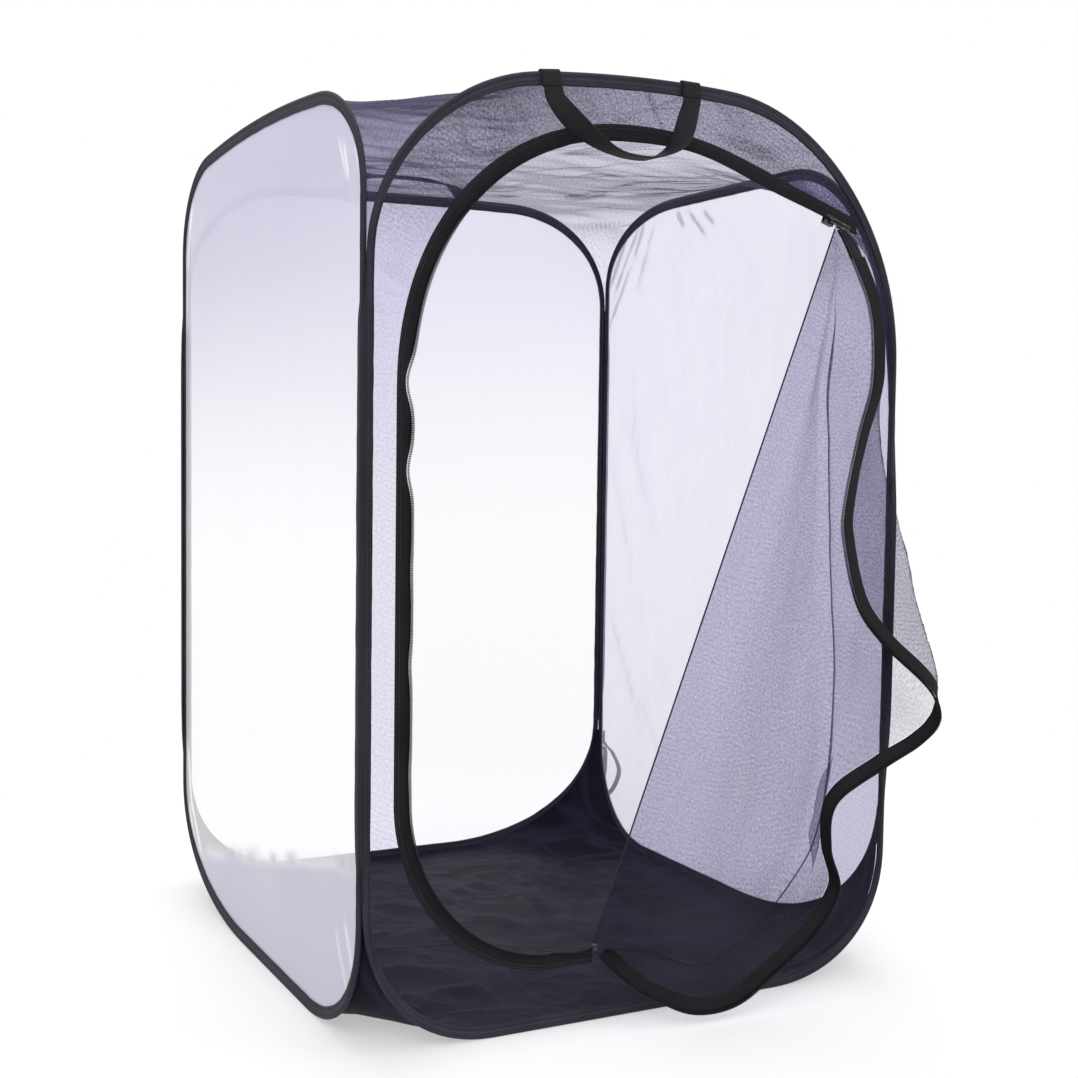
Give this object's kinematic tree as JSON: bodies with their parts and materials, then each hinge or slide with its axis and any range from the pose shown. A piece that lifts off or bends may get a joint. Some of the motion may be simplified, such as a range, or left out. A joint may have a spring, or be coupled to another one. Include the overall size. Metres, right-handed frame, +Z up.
{
  "type": "insect cage",
  "caption": "Pop-up insect cage with sprung hoops, net roof, clear and sheer panels, a zipped door folded open and webbing handles.",
  "frame": {"origin": "on the ground under the middle of the cage, at the floor sheet's underside", "axes": "+Z up, +Y towards the back panel, +X towards the side that the door flap hangs at"},
  "size_m": [0.6583, 0.6889, 0.9158],
  "materials": {
    "spring_steel": "drawn spring steel",
    "binding_tape": "woven polyester tape",
    "black_net": "fine knitted net",
    "clear_film": "clear flexible film",
    "sheer_cloth": "sheer woven cloth",
    "floor_nylon": "coated nylon",
    "zip_tape": "woven zip tape",
    "zip_coil": "moulded coil",
    "slider_metal": "black lacquer",
    "webbing": "flat webbing"
  },
  "bodies": {
    "back_side": {"back_hoop_wire": "spring_steel", "back_hoop_ferrule": "spring_steel", "back_hoop_binding": "binding_tape", "back_window": "clear_film", "back_handle_low_end": "webbing", "back_handle_high_end": "webbing", "roof_net": "black_net", "floor_sheet": "floor_nylon", "seam_tape_back_left": "binding_tape", "seam_tape_back_right": "binding_tape"},
    "left_side": {"left_hoop_wire": "spring_steel", "left_hoop_ferrule": "spring_steel", "left_hoop_binding": "binding_tape", "left_window": "clear_film"},
    "right_side": {"right_hoop_wire": "spring_steel", "right_hoop_ferrule": "spring_steel", "right_hoop_binding": "binding_tape", "right_panel": "sheer_cloth", "storage_loop_pad": "webbing"},
    "front_side": {"front_hoop_wire": "spring_steel", "front_hoop_ferrule": "spring_steel", "front_hoop_binding": "binding_tape", "front_panel": "black_net", "front_handle_low_end": "webbing", "front_handle_high_end": "webbing", "door_zip_tape": "zip_tape", "door_zip_coil": "zip_coil", "zip_stop_top": "slider_metal", "zip_stop_bottom": "slider_metal", "seam_tape_front_left": "binding_tape", "seam_tape_front_right": "binding_tape"},
    "door": {"door_flap": "black_net", "flap_zip_tape": "zip_tape", "flap_zip_coil": "zip_coil"},
    "slider": {"zip_slider": "slider_metal"},
    "pull": {"pull_tab": "slider_metal"},
    "front_grip": {"front_handle": "webbing"},
    "back_grip": {"back_handle": "webbing"},
    "loop": {"storage_loop": "webbing"}
  },
  "joints": [
    {"name": "left_fold", "type": "hinge", "parent": "back_side", "child": "left_side", "pos_m": [-0.2987, 0.2987, 0], "axis": [0, 0, 1], "range_deg": [0, 88], "deforming": ["roof_net", "floor_sheet", "seam_tape_back_left"]},
    {"name": "right_fold", "type": "hinge", "parent": "back_side", "child": "right_side", "pos_m": [0.302, 0.302, 0], "axis": [0, 0, 1], "range_deg": [0, 88], "deforming": ["seam_tape_back_right"]},
    {"name": "front_fold", "type": "hinge", "parent": "left_side", "child": "front_side", "pos_m": [-0.302, -0.302, 0], "axis": [0, 0, 1], "range_deg": [-88, 0], "deforming": ["seam_tape_front_left"]},
    {"name": "door_swing", "type": "hinge", "parent": "front_side", "child": "door", "pos_m": [-0.0601, -0.30255, 0.07312], "axis": [-0.3599, 0, -0.933], "range_deg": [0, 170], "deforming": ["door_flap", "flap_zip_tape", "flap_zip_coil"]},
    {"name": "slider_travel", "type": "slide", "parent": "front_side", "child": "slider", "axis": [-0.9458, 0, 0.3246], "range_m": [0, 0.038]},
    {"name": "pull_swing", "type": "hinge", "parent": "slider", "child": "pull", "pos_m": [0.20602, -0.3073, 0.79444], "axis": [-0.3246, 0, -0.9458], "range_deg": [0, 120]},
    {"name": "front_handle_swing", "type": "hinge", "parent": "front_side", "child": "front_grip", "pos_m": [-0.11852, -0.3083, 0.89336], "axis": [-0.9995, 0, -0.0316], "range_deg": [0, 150]},
    {"name": "back_handle_swing", "type": "hinge", "parent": "back_side", "child": "back_grip", "pos_m": [-0.07987, 0.3083, 0.87033], "axis": [-1, 0, 0], "range_deg": [0, 145]},
    {"name": "storage_loop_swing", "type": "hinge", "parent": "right_side", "child": "loop", "pos_m": [0.3077, 0.297, 0.13492], "axis": [0, -1, 0], "range_deg": [0, 90]}
  ],
  "couplings": [
    {"joint": "right_fold", "follows": "left_fold", "ratio": 1},
    {"joint": "front_fold", "follows": "left_fold", "ratio": -1}
  ]
}
